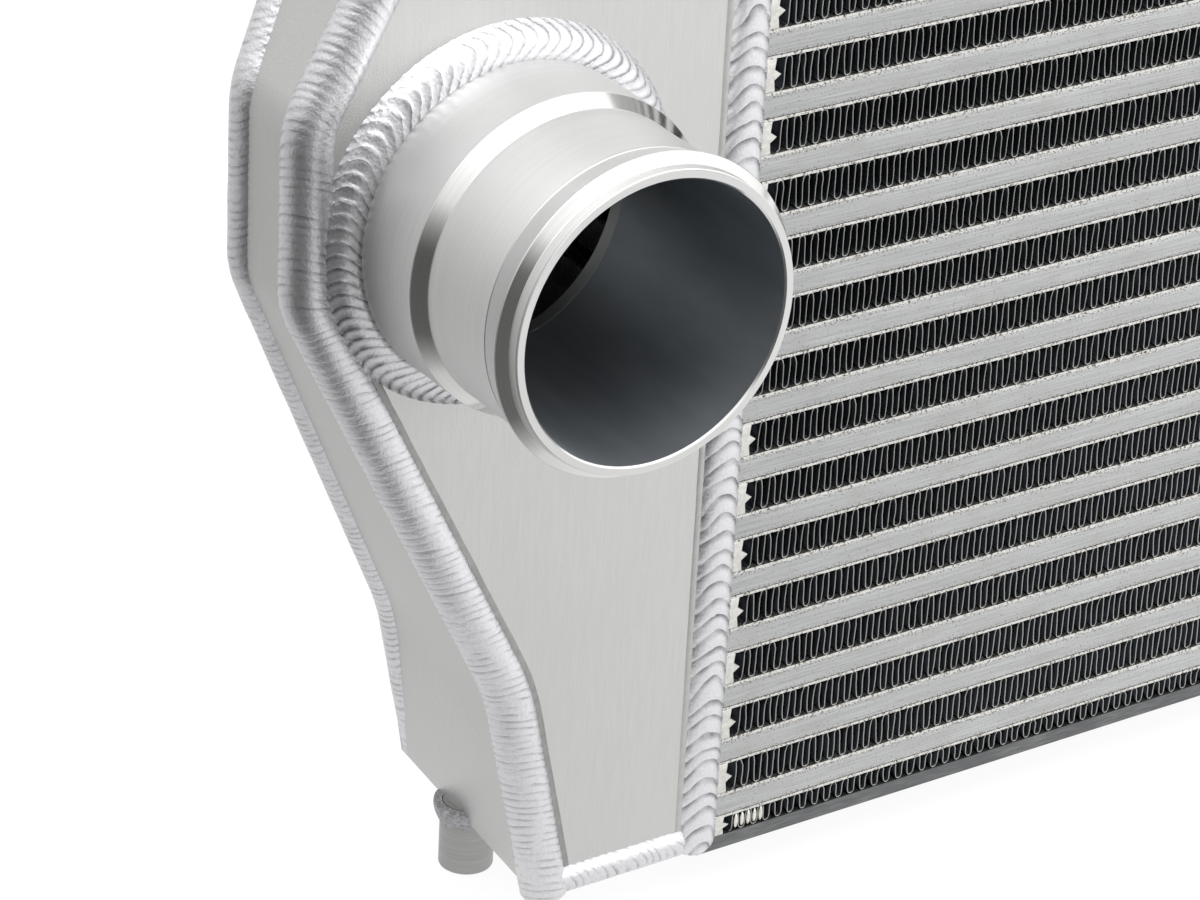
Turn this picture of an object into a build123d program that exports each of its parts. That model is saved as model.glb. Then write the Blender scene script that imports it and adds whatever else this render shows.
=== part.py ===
from build123d import *
import os

# Bar and plate intercooler, upright in its own frame: X across the core, Y from the front face to the
# back face, Z up. The origin is the centre of the core's bottom face. All lengths are millimetres.
os.makedirs("parts", exist_ok=True)

# Core: stacked charge and air rows between two side plates
core_width = 660.0
core_depth = 88.9
charge_rows = 24
charge_height = 6.64
air_height = 9.4
sheet_thickness = 0.8
half_row_height = 5.7
side_plate_thickness = 4.3
long_bar_depth = 8.0
closing_bar_width = 9.0
closing_nose = 1.7
closing_notch = 0.4
nose_share = 0.32
fin_thickness = 0.6
fin_wall_count = 16
fin_end_gap = 0.3
turbulator_wall_count = 4

# Tank outline, seen from the front: reach outwards from the core's end, height above the core's bottom,
# and how far the nose's flat reaches below and above the spigot's axis
tank_wall = 4.0
tank_lift = 2.0
foot_reach = 52.5
knee_reach = 67.0
knee_height = 68.6
nose_reach = 132.0
nose_below = 15.7
nose_above = 33.5
knee_radius = 80.0
nose_radius = 25.0

# Tank depth: full depth beside the core, then the back plate slopes forward to the nose
back_flat = 12.0
slope_drop = 55.9
overrun = 20.0
foot_rise = 15.0

# Hose spigot, turned: radii and distances from the front plate
spigot_setback = 57.7
spigot_height = 213.0
bore_radius = 37.3
base_step = 3.0
base_length = 28.8
bevel_length = 3.5
spigot_wall = 3.0
bead_rise = 2.3
bead_start = 58.0
bead_crest = 66.0
lip_wall = 2.6
lip_start = 68.3
spigot_length = 71.6

# Welds
seam_radius = 7.0
seam_inset = 4.7
floor_seam_radius = 6.0
floor_seam_inset = 4.0
joint_weld_width = 13.3
joint_weld_height = 2.5
joint_bead_radius = 5.0
joint_bead_height = 3.5
ring_width = 9.0
ring_height = 6.0
ring_bulge = 1.6

# Locating pin under each tank
pin_radius = 7.75
pin_root_step = 0.75
pin_reach = 49.5
pin_setback = 46.9
pin_drop = 10.0
pin_top = 11.0
collar_width = 2.85
collar_bottom = 5.0
collar_edge = 2.0
pin_chamfer = 0.6

# Sizes and places worked out from the sizes above
nose_depth = core_depth - slope_drop
nose_low = spigot_height - nose_below
nose_high = spigot_height + nose_above
spigot_reach = nose_reach - spigot_setback
barrel_radius = bore_radius + spigot_wall
base_radius = barrel_radius + base_step
bead_radius = barrel_radius + bead_rise
lip_radius = bore_radius + lip_wall
ring_outer_radius = base_radius + ring_width
pin_root_radius = pin_radius - pin_root_step
collar_radius = pin_radius + collar_width
row_pitch = charge_height + air_height + 2 * sheet_thickness
first_row = side_plate_thickness + half_row_height + sheet_thickness + charge_height / 2
core_height = 2 * first_row + (charge_rows - 1) * row_pitch
core_end = -core_width / 2
front = -core_depth / 2
back = core_depth / 2
row_heights = [first_row + k * row_pitch for k in range(charge_rows)]
air_heights = [first_row + (k + 0.5) * row_pitch for k in range(charge_rows - 1)]
half_row_low = side_plate_thickness + half_row_height / 2
half_row_high = core_height - half_row_low
front_plane = Plane.XZ.offset(core_depth / 2)
end_plane = Plane.YZ.offset(core_end)
middle_plane = Plane.XY.offset(core_height / 2)
spigot_centre = (core_end - spigot_reach, spigot_height)


# A folded strip of fins, drawn across one row, from crest to crest between the sheets
def folded_strip(length, height, walls):
    upper, lower = [], []
    for fold in range(walls + 1):
        x = fold * length / walls - length / 2
        top = height / 2 if fold % 2 == 0 else fin_thickness - height / 2
        upper.append((x, top))
        lower.append((x, top - fin_thickness))
    return upper + lower[::-1]


# Core side plates, the thick sheets that close the stack
with BuildPart() as side_plate_bottom:
    with Locations((0, 0, side_plate_thickness / 2)):
        Box(core_width, core_depth, side_plate_thickness)

with BuildPart() as side_plate_top:
    with Locations((0, 0, core_height - side_plate_thickness / 2)):
        Box(core_width, core_depth, side_plate_thickness)

# Long bars that close each charge row at the front and at the back
with BuildPart() as long_bars_front:
    with Locations([(0, front + long_bar_depth / 2, z) for z in row_heights]):
        Box(core_width, long_bar_depth, charge_height)

with BuildPart() as long_bars_back:
    with Locations([(0, back - long_bar_depth / 2, z) for z in row_heights]):
        Box(core_width, long_bar_depth, charge_height)

# Parting sheets, one above and one below each charge row
sheet_offset = (charge_height + sheet_thickness) / 2
with BuildPart() as parting_sheets:
    with Locations([(0, 0, z + s * sheet_offset) for z in row_heights for s in (-1, 1)]):
        Box(core_width, core_depth, sheet_thickness)


# End closing bars: drawn bars as deep as the core, with a pointed nose towards the fins
def closing_profile(height):
    half, nose_half = height / 2, height * nose_share / 2
    side = core_end + closing_bar_width
    with BuildSketch() as profile:
        with BuildLine():
            Polyline((core_end, -half), (side, -half), (side - closing_notch, -nose_half),
                     (side + closing_nose, 0), (side - closing_notch, nose_half), (side, half),
                     (core_end, half), close=True)
        make_face()
    return profile.sketch


with BuildPart() as closing_bars_left:
    with BuildSketch(front_plane):
        with Locations([(0, z) for z in air_heights]):
            add(closing_profile(air_height))
        with Locations((0, half_row_low), (0, half_row_high)):
            add(closing_profile(half_row_height))
    extrude(amount=-core_depth)

with BuildPart() as closing_bars_right:
    mirror(closing_bars_left.part, about=Plane.YZ)

# Air fins: folded strips, open from front to back, that fill each air row
fin_length = core_width - 2 * (closing_bar_width + closing_nose + fin_end_gap)


def air_fins(heights, row_height):
    with BuildSketch() as strip:
        with BuildLine():
            Polyline(folded_strip(fin_length, row_height, fin_wall_count), close=True)
        make_face()
    with BuildPart() as fins:
        with BuildSketch(front_plane):
            with Locations([(0, z) for z in heights]):
                add(strip.sketch)
        extrude(amount=-core_depth)
    return fins


third = len(air_heights) // 3
air_fins_lower = air_fins(air_heights[:third], air_height)
air_fins_middle = air_fins(air_heights[third:2 * third], air_height)
air_fins_upper = air_fins(air_heights[2 * third:], air_height)
half_fins_bottom = air_fins([half_row_low], half_row_height)
half_fins_top = air_fins([half_row_high], half_row_height)

# Charge side turbulators: folded strips, open from tank to tank, between the long bars
with BuildSketch() as turbulator_strip:
    with BuildLine():
        Polyline(folded_strip(core_depth - 2 * long_bar_depth, charge_height, turbulator_wall_count), close=True)
    make_face()

with BuildPart() as turbulators:
    with BuildSketch(end_plane):
        with Locations([(0, z) for z in row_heights]):
            add(turbulator_strip.sketch)
    extrude(amount=core_width)


# What lies below the tank's floor: the floor is level at the core and rises to the back at the foot
def below_floor(inset):
    with BuildPart() as ground:
        for reach in (-overrun, nose_reach + overrun):
            level = tank_lift + inset
            rise = foot_rise * reach / foot_reach
            with BuildSketch(Plane.YZ.offset(core_end - reach)):
                with BuildLine():
                    Polyline((2 * front, level - rise / 2), (2 * front, -core_depth), (2 * back, -core_depth),
                             (2 * back, level + 3 * rise / 2), close=True)
                make_face()
        loft(ruled=True)
    return ground.part


# The tank from above: full depth beside the core, then tapering to the nose
def tank_plan(inset):
    with BuildPart() as plan:
        with BuildSketch(Plane.XY):
            with BuildLine():
                Polyline((core_end + overrun, front), (core_end + overrun, back), (core_end - back_flat, back),
                         (core_end - nose_reach, front + nose_depth),
                         (core_end - nose_reach - overrun, front + nose_depth),
                         (core_end - nose_reach - overrun, front), close=True)
            make_face()
            if inset:
                offset(amount=-inset, kind=Kind.INTERSECTION)
        extrude(amount=core_height)
    return plan.part


# The tank from the front, as a prism deeper than the tank
def tank_outline(inset):
    with BuildPart() as outline:
        with BuildSketch(front_plane):
            with BuildLine():
                rim = FilletPolyline((core_end + overrun, tank_lift), (core_end - foot_reach, tank_lift),
                                     (core_end - knee_reach, knee_height), (core_end - nose_reach, nose_low),
                                     (core_end - nose_reach, nose_high),
                                     (core_end - knee_reach, core_height - knee_height),
                                     (core_end - foot_reach, core_height - tank_lift),
                                     (core_end + overrun, core_height - tank_lift),
                                     radius=[0, knee_radius, nose_radius, nose_radius, knee_radius, 0])
                Line(rim @ 1, rim @ 0)
            make_face()
            if inset:
                offset(amount=-inset, kind=Kind.INTERSECTION)
        extrude(amount=-core_depth)
    return outline.part


# Tank block: the outside form of the left tank, or the same form with every free face moved in
def tank_block(inset):
    with BuildPart() as block:
        add(tank_outline(inset))
        add(tank_plan(inset), mode=Mode.INTERSECT)
        split(bisect_by=end_plane, keep=Keep.BOTTOM)
        ground = below_floor(inset)
        add(ground, mode=Mode.SUBTRACT)
        add(mirror(ground, about=middle_plane, mode=Mode.PRIVATE), mode=Mode.SUBTRACT)
    return block.part


outer_block = tank_block(0)
inner_block = tank_block(tank_wall)
inner_plan = tank_plan(tank_wall)
floor_zone = below_floor(tank_wall)
roof_zone = mirror(floor_zone, about=middle_plane)
between_plates = Plane.XZ.offset(core_depth / 2 - 2 * tank_wall)

# Front plate with the hole that the spigot stands over
with BuildPart() as front_plate:
    add(outer_block)
    add(inner_plan, mode=Mode.SUBTRACT)
    split(bisect_by=between_plates, keep=Keep.TOP)
    with BuildSketch(front_plane):
        with Locations(spigot_centre):
            Circle(bore_radius)
    extrude(amount=-tank_wall, mode=Mode.SUBTRACT)

# Back plate, bent once beside the core
with BuildPart() as back_plate:
    add(outer_block)
    add(inner_plan, mode=Mode.SUBTRACT)
    split(bisect_by=between_plates, keep=Keep.BOTTOM)

# Floor plate between front and back plates, lying on the end wall's lower edge
with BuildPart() as floor_plate:
    add(outer_block)
    add(inner_plan, mode=Mode.INTERSECT)
    add(floor_zone, mode=Mode.INTERSECT)

with BuildPart() as roof_plate:
    add(outer_block)
    add(inner_plan, mode=Mode.INTERSECT)
    add(roof_zone, mode=Mode.INTERSECT)

# End wall: one strip bent round the foot, knee and nose
with BuildPart() as end_wall:
    add(outer_block)
    add(inner_plan, mode=Mode.INTERSECT)
    add(inner_block, mode=Mode.SUBTRACT)
    add(floor_zone, mode=Mode.SUBTRACT)
    add(roof_zone, mode=Mode.SUBTRACT)

# Spigot turned from bar: base, bevel, barrel, raised hose bead and square lip
spigot_plane = Plane((spigot_centre[0], front, spigot_centre[1]))
spigot_axis = Axis(spigot_plane.origin, (0, 1, 0))
with BuildPart() as spigot:
    with BuildSketch(spigot_plane):
        with BuildLine():
            Polyline((bore_radius, 0), (base_radius, 0), (base_radius, -base_length),
                     (barrel_radius, -base_length - bevel_length), (barrel_radius, -bead_start),
                     (bead_radius, -bead_crest), (lip_radius, -lip_start), (lip_radius, -spigot_length),
                     (bore_radius, -spigot_length), close=True)
        make_face()
    revolve(axis=spigot_axis)


# A seam bead: a round run along the seam, a little inside the edge, less the plates that it joins
def seam_bead(path, radius, others=(), open_ends=False):
    with BuildPart() as bead:
        with BuildSketch(Plane(origin=path @ 0, z_dir=path % 0)):
            Circle(radius)
        sweep(path=path, transition=Transition.RIGHT)
        if open_ends:
            with Locations(path @ 0, path @ 1):
                Sphere(radius)
        add(outer_block, mode=Mode.SUBTRACT)
        split(bisect_by=end_plane, keep=Keep.BOTTOM)
        for other in others:
            add(other, mode=Mode.SUBTRACT)
    return bead


def slopes_back(face):
    return face.normal_at().Y > 0.5 and face.normal_at().X < -0.1


def climbs(edge):
    across, up = abs((edge @ 0).X - (edge @ 1).X), abs((edge @ 0).Z - (edge @ 1).Z)
    return up > across and edge.center().X < core_end - foot_reach / 2


# Joint welds between the core and the tank: flat beads up the front and back
with BuildPart() as joint_weld_front:
    with BuildSketch(Plane.XY):
        with BuildLine():
            crown = ThreePointArc((core_end - joint_weld_width / 2, front), (core_end, front - joint_weld_height),
                                  (core_end + joint_weld_width / 2, front))
            Line(crown @ 1, crown @ 0)
        make_face()
    extrude(amount=core_height)

with BuildPart() as joint_weld_back:
    mirror(joint_weld_front.part, about=Plane.XZ)

# Joint welds across the core's bottom and top
with BuildPart() as joint_weld_floor:
    with BuildSketch(front_plane):
        with Locations((core_end, joint_bead_height)):
            Circle(joint_bead_radius)
    extrude(amount=-core_depth)
    add(outer_block, mode=Mode.SUBTRACT)
    with Locations((core_end, 0, -joint_bead_radius)):
        Box(core_width, core_depth, core_height, align=(Align.MIN, Align.CENTER, Align.MIN),
            mode=Mode.SUBTRACT)

with BuildPart() as joint_weld_roof:
    mirror(joint_weld_floor.part, about=middle_plane)

# Seams along the end wall, front and back
seam_block = tank_block(seam_inset)
front_rim = seam_block.faces().sort_by(Axis.Y)[0].edges().filter_by(climbs)
back_rim = seam_block.faces().filter_by(GeomType.PLANE).filter_by(slopes_back)[0].edges().filter_by(climbs)
front_end_weld = seam_bead(Wire(front_rim), seam_radius, open_ends=True)
back_end_weld = seam_bead(Wire(back_rim), seam_radius, open_ends=True)

# Seams along the floor, front and back, between the end wall's seam and the joint welds
floor_block = tank_block(floor_seam_inset)
floor_face = floor_block.faces().sort_by(Axis.Z)[0]


def floor_path(side):
    corners = [v for v in floor_face.vertices() if v.Y * side > 0 and v.X < core_end + tank_wall]
    corners = ShapeList(corners).sort_by(Axis.X)
    with BuildLine() as path:
        if len(corners) > 2:
            FilletPolyline([tuple(v) for v in corners], radius=floor_seam_radius)
        else:
            Line(*[tuple(v) for v in corners])
    return path.line.wires()[0] if len(corners) > 2 else path.line.edges()[0]


joint_welds = [joint_weld_front.part, joint_weld_back.part, joint_weld_floor.part]
corner_welds = [front_end_weld.part, back_end_weld.part] + joint_welds
floor_weld_front = seam_bead(floor_path(-1), floor_seam_radius, corner_welds)
floor_weld_back = seam_bead(floor_path(1), floor_seam_radius, corner_welds)
with BuildPart() as roof_weld_front:
    mirror(floor_weld_front.part, about=middle_plane)
with BuildPart() as roof_weld_back:
    mirror(floor_weld_back.part, about=middle_plane)

# Ring weld round the spigot's base
with BuildPart() as spigot_weld:
    with BuildSketch(spigot_plane):
        with BuildLine():
            middle = ((ring_outer_radius + base_radius) / 2 + ring_bulge, -ring_height / 2 - ring_bulge)
            ThreePointArc((ring_outer_radius, 0), middle, (base_radius, -ring_height))
            Polyline((base_radius, -ring_height), (base_radius, 0), (ring_outer_radius, 0))
        make_face()
    revolve(axis=spigot_axis)
    add(front_end_weld.part, mode=Mode.SUBTRACT)
    add(joint_weld_front.part, mode=Mode.SUBTRACT)

# Locating pin under the tank, with the weld collar that holds it to the floor plate
pin_x, pin_y = core_end - pin_reach, back - pin_setback
with BuildPart() as lower_pin:
    with BuildSketch(Plane.XY.offset(-pin_drop)):
        with Locations((pin_x, pin_y)):
            Circle(pin_radius)
    extrude(amount=pin_drop + collar_bottom)
    chamfer(lower_pin.faces().sort_by(Axis.Z)[0].edges(), pin_chamfer)
    with BuildSketch(Plane.XY.offset(collar_bottom)):
        with Locations((pin_x, pin_y)):
            Circle(pin_root_radius)
    extrude(amount=pin_top - collar_bottom)
    add(outer_block, mode=Mode.SUBTRACT)

with BuildPart() as pin_weld:
    with BuildSketch(Plane.XZ.offset(-pin_y)):
        with BuildLine():
            Polyline((pin_x + pin_root_radius, collar_bottom), (pin_x + pin_radius, collar_bottom),
                     (pin_x + collar_radius, pin_top - collar_edge), (pin_x + collar_radius, pin_top),
                     (pin_x + pin_root_radius, pin_top), close=True)
        make_face()
    revolve(axis=Axis((pin_x, pin_y, 0), (0, 0, 1)))
    add(outer_block, mode=Mode.SUBTRACT)

# Every piece under its own name: the core once, the tank's pieces on the left and mirrored to the right
core_pieces = {
    "side_plate_bottom": side_plate_bottom, "side_plate_top": side_plate_top,
    "long_bars_front": long_bars_front, "long_bars_back": long_bars_back, "parting_sheets": parting_sheets,
    "closing_bars_left": closing_bars_left, "closing_bars_right": closing_bars_right,
    "air_fins_lower": air_fins_lower, "air_fins_middle": air_fins_middle, "air_fins_upper": air_fins_upper,
    "half_fins_bottom": half_fins_bottom, "half_fins_top": half_fins_top, "turbulators": turbulators,
}
tank_pieces = {
    "front_plate": front_plate, "back_plate": back_plate, "floor_plate": floor_plate,
    "roof_plate": roof_plate, "end_wall": end_wall, "spigot": spigot, "spigot_weld": spigot_weld,
    "front_end_weld": front_end_weld, "back_end_weld": back_end_weld,
    "floor_weld_front": floor_weld_front, "floor_weld_back": floor_weld_back,
    "roof_weld_front": roof_weld_front, "roof_weld_back": roof_weld_back,
    "joint_weld_front": joint_weld_front, "joint_weld_back": joint_weld_back,
    "joint_weld_floor": joint_weld_floor, "joint_weld_roof": joint_weld_roof,
    "lower_pin": lower_pin, "pin_weld": pin_weld,
}

for name, piece in core_pieces.items():
    piece.part.label = name
    export_step(piece.part, f"parts/{name}.step")

for name, piece in tank_pieces.items():
    piece.part.label = f"left_{name}"
    export_step(piece.part, f"parts/left_{name}.step")
    with BuildPart() as twin:
        mirror(piece.part, about=Plane.YZ)
    twin.part.label = f"right_{name}"
    export_step(twin.part, f"parts/right_{name}.step")
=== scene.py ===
import math
import bmesh
import bpy
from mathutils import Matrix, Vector, noise


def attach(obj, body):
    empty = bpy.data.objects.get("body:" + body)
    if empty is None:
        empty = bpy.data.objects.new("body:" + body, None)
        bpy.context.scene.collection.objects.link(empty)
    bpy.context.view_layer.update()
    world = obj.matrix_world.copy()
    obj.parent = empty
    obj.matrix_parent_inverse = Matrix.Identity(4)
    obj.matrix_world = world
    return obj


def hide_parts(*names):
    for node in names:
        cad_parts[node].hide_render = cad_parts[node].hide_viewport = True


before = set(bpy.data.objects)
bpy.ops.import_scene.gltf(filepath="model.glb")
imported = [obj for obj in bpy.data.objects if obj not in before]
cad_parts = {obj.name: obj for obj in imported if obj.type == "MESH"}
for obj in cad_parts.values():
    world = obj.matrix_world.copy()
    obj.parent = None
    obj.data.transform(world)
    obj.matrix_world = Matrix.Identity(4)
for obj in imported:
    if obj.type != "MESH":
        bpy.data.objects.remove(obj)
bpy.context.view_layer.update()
mm = 0.001


# Side plates
# Two 4.3 mm sheets of plain aluminium close the stack of rows below and above. They are furnace brazed
# to the half height fin rows, and the heat leaves them dull and dark.
def linear(colour):
    channels = [int(colour[i:i + 2], 16) / 255 for i in (1, 3, 5)]
    return [c / 12.92 if c <= 0.04045 else ((c + 0.055) / 1.055) ** 2.4 for c in channels] + [1.0]


def feed(node, feeds):
    for socket, value in feeds.items():
        if isinstance(value, bpy.types.NodeSocket):
            node.id_data.links.new(value, node.inputs[socket])
        else:
            node.inputs[socket].default_value = value


def add_node(material, kind, feeds, **settings):
    node = material.node_tree.nodes.new(kind)
    for setting, value in settings.items():
        setattr(node, setting, value)
    feed(node, feeds)
    return node


def new_metal(name, roughness):
    material = bpy.data.materials.new(name)
    material.use_nodes = True
    shader = material.node_tree.nodes["Principled BSDF"]
    feed(shader, {"Metallic": 1.0, "Roughness": roughness})
    place = add_node(material, "ShaderNodeTexCoord", {}).outputs["Object"]
    return material, shader, place


def finish_nodes(material, *names):
    for name in names:
        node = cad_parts[name]
        if node.material_slots:
            node.material_slots[0].material = material
        else:
            node.data.materials.append(material)


# Grain 0.7 mm wide runs along the plate, and dark furnace blotches are about 20 mm across
brazed_plate, shader, place = new_metal("brazed_side_plate", 0.5)
grain_place = add_node(brazed_plate, "ShaderNodeMapping",
                       {"Vector": place, "Scale": (160, 1500, 1500)}).outputs[0]
grain = add_node(brazed_plate, "ShaderNodeTexNoise",
                 {"Vector": grain_place, "Scale": 1.0, "Detail": 3.0}).outputs[0]
blotch = add_node(brazed_plate, "ShaderNodeTexNoise",
                  {"Vector": place, "Scale": 50.0, "Detail": 4.0}).outputs[0]
grain_tone = add_node(brazed_plate, "ShaderNodeMix", {"Factor": grain, 6: linear("#4E4F51"),
                                                      7: linear("#919292")}, data_type="RGBA").outputs[2]
blotch_share = add_node(brazed_plate, "ShaderNodeMapRange",
                        {"Value": blotch, "From Min": 0.45, "From Max": 0.75, "To Max": 0.6}).outputs[0]
plate_tone = add_node(brazed_plate, "ShaderNodeMix", {"Factor": blotch_share, 6: grain_tone,
                                                      7: linear("#5B5C5E")}, data_type="RGBA").outputs[2]
plate_bump = add_node(brazed_plate, "ShaderNodeBump",
                      {"Height": grain, "Strength": 0.3, "Distance": 0.0002}).outputs[0]
feed(shader, {"Base Color": plate_tone, "Normal": plate_bump})
finish_nodes(brazed_plate, "side_plate_bottom", "side_plate_top")

# Parting sheets
# Thin clad sheets lie on both faces of every charge row. Only their front and back edges show, as pale
# lines beside the bars, with brown and dark specks where the braze metal ran.
sheet_edge, shader, place = new_metal("clad_sheet_edge", 0.4)
speck = add_node(sheet_edge, "ShaderNodeTexNoise",
                 {"Vector": place, "Scale": 1300.0, "Detail": 3.0}).outputs[0]
speck_share = add_node(sheet_edge, "ShaderNodeMapRange",
                       {"Value": speck, "From Min": 0.5, "From Max": 0.68}).outputs[0]
edge_tone = add_node(sheet_edge, "ShaderNodeMix", {"Factor": speck_share, 6: linear("#DEDDD9"),
                                                   7: linear("#5E574E")}, data_type="RGBA").outputs[2]
edge_bump = add_node(sheet_edge, "ShaderNodeBump",
                     {"Height": speck, "Strength": 0.6, "Distance": 0.0003}).outputs[0]
feed(shader, {"Base Color": edge_tone, "Normal": edge_bump})
finish_nodes(sheet_edge, "parting_sheets")

# Long bars
# Solid drawn bars, 6.64 mm high, close each charge row at the front and the back. Their long edges are
# eased, and they are brazed between the sheets, flush with them.
same_place = 1e-6


def new_piece(name, mesh, materials, nodes, sharp=30):
    data = bpy.data.meshes.new(name)
    mesh.to_mesh(data)
    mesh.free()
    data.shade_smooth()
    data.set_sharp_from_angle(angle=math.radians(sharp))
    for material in materials:
        data.materials.append(material)
    piece = bpy.data.objects.new(name, data)
    bpy.context.scene.collection.objects.link(piece)
    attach(piece, "root")
    if nodes:
        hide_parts(*nodes)
    return piece


def eased_bars(node, ease, material):
    bars = bmesh.new()
    bars.from_mesh(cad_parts[node].data)
    bmesh.ops.remove_doubles(bars, verts=bars.verts, dist=same_place)
    bmesh.ops.dissolve_limit(bars, angle_limit=math.radians(1), verts=bars.verts, edges=bars.edges)
    bmesh.ops.bevel(bars, geom=bars.edges[:], offset=ease, segments=2, profile=0.5, affect="EDGES",
                    material=-1)
    new_piece(node + "_eased", bars, [material], [node])


# Drawing streaks 0.4 mm apart run along the bar. Stains about 8 mm across lie over them, and specks under
# 1 mm gather at its edges
first_row = 14.12 * mm
row_pitch = 17.64 * mm
bar_half = 3.32 * mm
drawn_bar, shader, place = new_metal("drawn_bar", 0.42)
streak_place = add_node(drawn_bar, "ShaderNodeMapping",
                        {"Vector": place, "Scale": (45, 2200, 2200)}).outputs[0]
streak = add_node(drawn_bar, "ShaderNodeTexNoise",
                  {"Vector": streak_place, "Scale": 1.0, "Detail": 3.0}).outputs[0]
stain = add_node(drawn_bar, "ShaderNodeTexNoise", {"Vector": place, "Scale": 120.0, "Detail": 5.0}).outputs[0]
bar_speck = add_node(drawn_bar, "ShaderNodeTexNoise",
                     {"Vector": place, "Scale": 1600.0, "Detail": 2.0}).outputs[0]
height = add_node(drawn_bar, "ShaderNodeSeparateXYZ", {"Vector": place}).outputs["Z"]
from_first = add_node(drawn_bar, "ShaderNodeMath", {0: height, 1: first_row - row_pitch / 2},
                      operation="SUBTRACT").outputs[0]
in_row = add_node(drawn_bar, "ShaderNodeMath", {0: from_first, 1: row_pitch},
                  operation="FLOORED_MODULO").outputs[0]
off_centre = add_node(drawn_bar, "ShaderNodeMath", {0: in_row, 1: row_pitch / 2},
                      operation="SUBTRACT").outputs[0]
edge_gap = add_node(drawn_bar, "ShaderNodeMath", {0: off_centre}, operation="ABSOLUTE").outputs[0]
near_edge = add_node(drawn_bar, "ShaderNodeMapRange",
                     {"Value": edge_gap, "From Min": bar_half - 1.3 * mm, "From Max": bar_half,
                      "To Min": 0.05, "To Max": 0.24}).outputs[0]
dirt = add_node(drawn_bar, "ShaderNodeMath", {0: bar_speck, 1: near_edge}, operation="ADD").outputs[0]
dirt_share = add_node(drawn_bar, "ShaderNodeMapRange", {"Value": dirt, "From Min": 0.66, "From Max": 0.8,
                                                        "To Max": 0.75}).outputs[0]
streak_tone = add_node(drawn_bar, "ShaderNodeMix", {"Factor": streak, 6: linear("#9A9B9B"),
                                                    7: linear("#D6D7D7")}, data_type="RGBA").outputs[2]
stain_share = add_node(drawn_bar, "ShaderNodeMapRange", {"Value": stain, "From Min": 0.5, "From Max": 0.75,
                                                         "To Max": 0.45}).outputs[0]
stain_tone = add_node(drawn_bar, "ShaderNodeMix", {"Factor": stain_share, 6: streak_tone,
                                                   7: linear("#B3B1AD")}, data_type="RGBA").outputs[2]
bar_tone = add_node(drawn_bar, "ShaderNodeMix", {"Factor": dirt_share, 6: stain_tone, 7: linear("#6E675E")},
                    data_type="RGBA").outputs[2]
bar_bump = add_node(drawn_bar, "ShaderNodeBump",
                    {"Height": streak, "Strength": 0.25, "Distance": 0.0002}).outputs[0]
feed(shader, {"Base Color": bar_tone, "Normal": bar_bump})
eased_bars("long_bars_front", 0.35 * mm, drawn_bar)
eased_bars("long_bars_back", 0.35 * mm, drawn_bar)

# End closing bars
# Drawn bars with a pointed nose close each air row at both ends. They stand as deep as the core, and
# their saw-cut ends show beside the tank's joint weld.
# Saw marks about 1.5 mm across break up the shine of the bright, cut ends
sawn_end, shader, place = new_metal("sawn_bar_end", 0.36)
saw_mark = add_node(sawn_end, "ShaderNodeTexNoise",
                    {"Vector": place, "Scale": 700.0, "Detail": 3.0}).outputs[0]
sawn_tone = add_node(sawn_end, "ShaderNodeMix", {"Factor": saw_mark, 6: linear("#B4B3AE"),
                                                 7: linear("#F0EFEA")}, data_type="RGBA").outputs[2]
sawn_bump = add_node(sawn_end, "ShaderNodeBump",
                     {"Height": saw_mark, "Strength": 0.3, "Distance": 0.0003}).outputs[0]
feed(shader, {"Base Color": sawn_tone, "Normal": sawn_bump})
eased_bars("closing_bars_left", 0.2 * mm, sawn_end)
eased_bars("closing_bars_right", 0.2 * mm, sawn_end)

# Air fins
# Strips of 0.2 mm sheet are folded at 12 to the inch into tall narrow loops and stand between the sheets.
# Their cut edges shine at the face, and the loops lean and bow a little. The sheet is drawn 0.24 mm
# thick so that its edge shows.
fin_length = 638.0 * mm
fin_waves = 151
fin_wave = fin_length / fin_waves
fin_front = -44.1 * mm
fin_depth = 88.2 * mm
fin_gauge = 0.24 * mm
fin_height = 9.1 * mm
half_fin_height = 5.4 * mm
air_row_count = 23
fin_bow = 0.34
fin_lean = 0.15
cut_edge = 0.25 * mm

# Clad sheet whose walls are painted dark, as shade deep in the channels, with painted sheen in patches
# 2 to 8 mm long. Only the last 0.25 mm at its cut edges keeps the sheet's own bright colour
fin_sheet, shader, place = new_metal("folded_fin_sheet", 0.35)
depth = add_node(fin_sheet, "ShaderNodeSeparateXYZ", {"Vector": place}).outputs["Y"]
off_middle = add_node(fin_sheet, "ShaderNodeMath", {0: depth}, operation="ABSOLUTE").outputs[0]
edge_share = add_node(fin_sheet, "ShaderNodeMapRange",
                      {"Value": off_middle, "From Min": -fin_front - cut_edge,
                       "From Max": -fin_front}).outputs[0]
painted_sheen_place = add_node(fin_sheet, "ShaderNodeMapping", {"Vector": place, "Scale": (500, 200, 120)}).outputs[0]
painted_sheen = add_node(fin_sheet, "ShaderNodeTexNoise",
                 {"Vector": painted_sheen_place, "Scale": 1.0, "Detail": 2.0}).outputs[0]
# Painted shade with painted sheen: the walls behind the cut edge are near black
painted_shade_and_sheen = add_node(fin_sheet, "ShaderNodeMix", {"Factor": painted_sheen, 6: linear("#0C0D0F"),
                                                  7: linear("#30343A")}, data_type="RGBA").outputs[2]
fin_tone = add_node(fin_sheet, "ShaderNodeMix", {"Factor": edge_share, 6: painted_shade_and_sheen, 7: linear("#AAAAA6")},
                    data_type="RGBA").outputs[2]
feed(shader, {"Base Color": fin_tone})


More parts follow.
